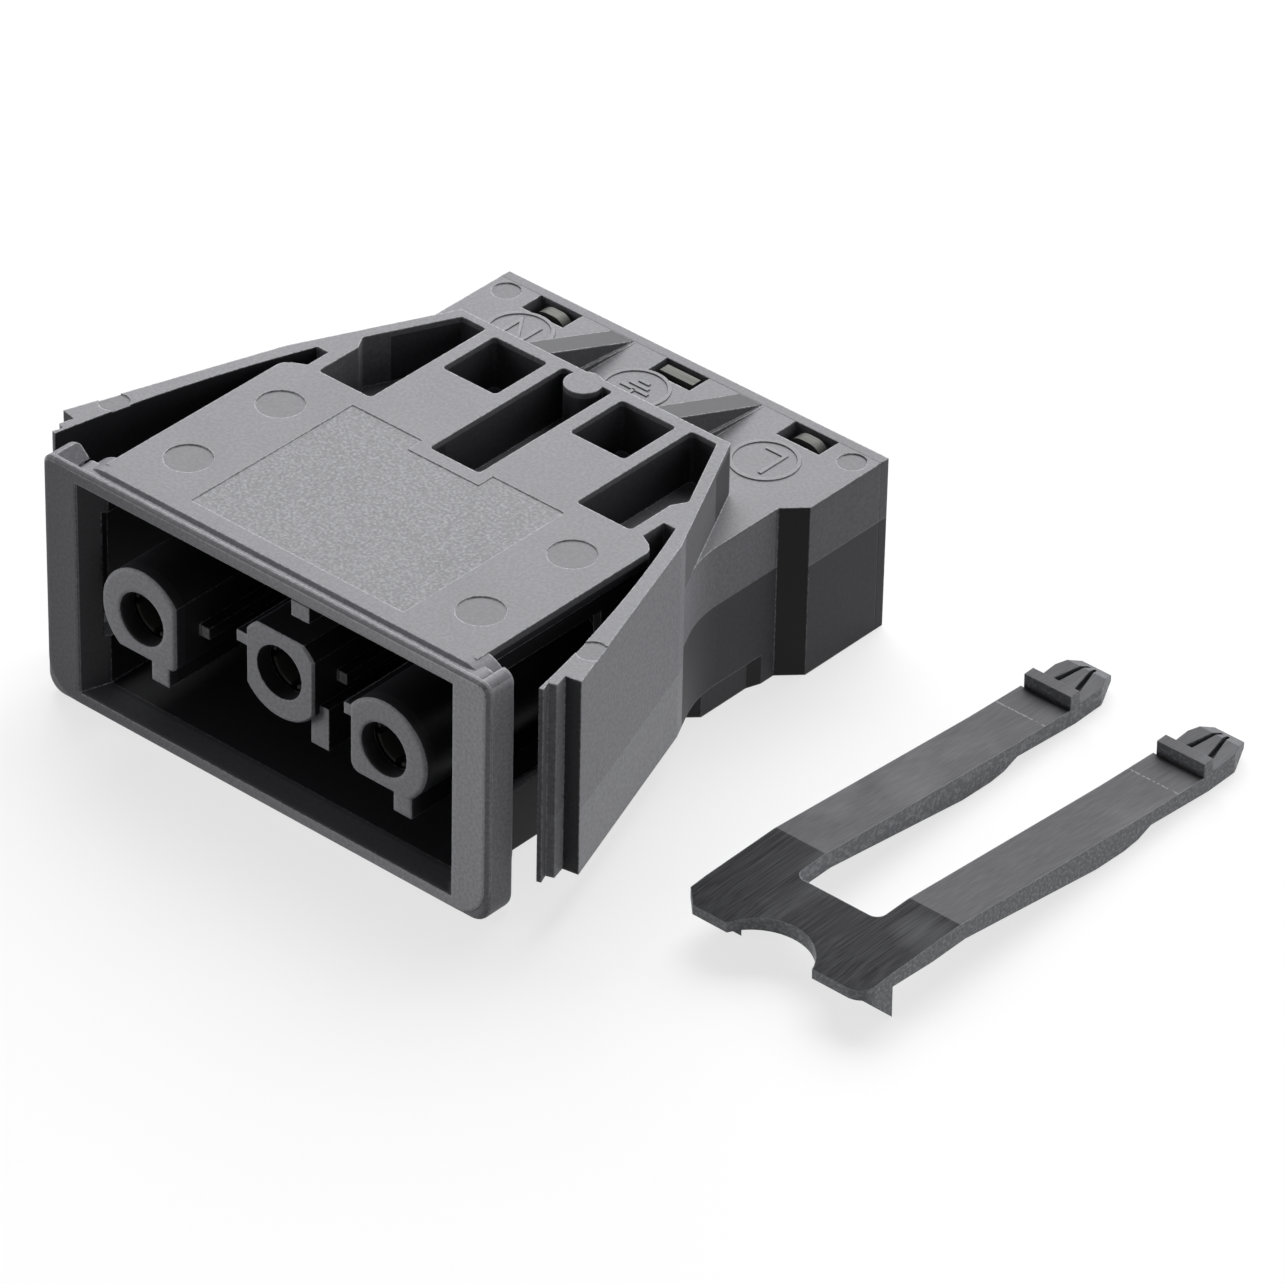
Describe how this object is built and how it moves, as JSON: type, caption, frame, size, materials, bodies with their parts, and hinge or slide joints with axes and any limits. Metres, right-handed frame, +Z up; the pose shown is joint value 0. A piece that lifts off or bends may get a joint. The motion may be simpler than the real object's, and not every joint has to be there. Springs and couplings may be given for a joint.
{
  "type": "socket coupler",
  "caption": "Snap-in panel socket coupler with round sleeves in a rectangular mating opening, splayed snap arms, rear wire terminals and a separate locking fork.",
  "frame": {"origin": "centre of the mating opening, on its front plane", "axes": "+X across the poles to the right as seen on the mating side, +Y from the mating side towards the wires, +Z up"},
  "size_m": [0.063, 0.0438, 0.0176],
  "materials": {
    "housing": "moulded black polyamide, fine matt texture",
    "cover": "moulded black polyamide",
    "fork": "moulded black polyamide, smooth base",
    "contact": "tin plated copper alloy",
    "terminal": "tin plated copper alloy strip",
    "spring": "bright spring steel"
  },
  "bodies": {
    "root": {"housing": "housing", "rear_cover": "cover", "locking_fork": "fork", "contact_neutral": "contact", "over_spring_neutral": "spring", "terminal_frame_neutral": "terminal", "clamp_spring_neutral_left": "spring", "clamp_spring_neutral_right": "spring", "contact_earth": "contact", "over_spring_earth": "spring", "terminal_frame_earth": "terminal", "clamp_spring_earth_left": "spring", "clamp_spring_earth_right": "spring", "contact_line": "contact", "over_spring_line": "spring", "terminal_frame_line": "terminal", "clamp_spring_line_left": "spring", "clamp_spring_line_right": "spring"}
  },
  "joints": []
}
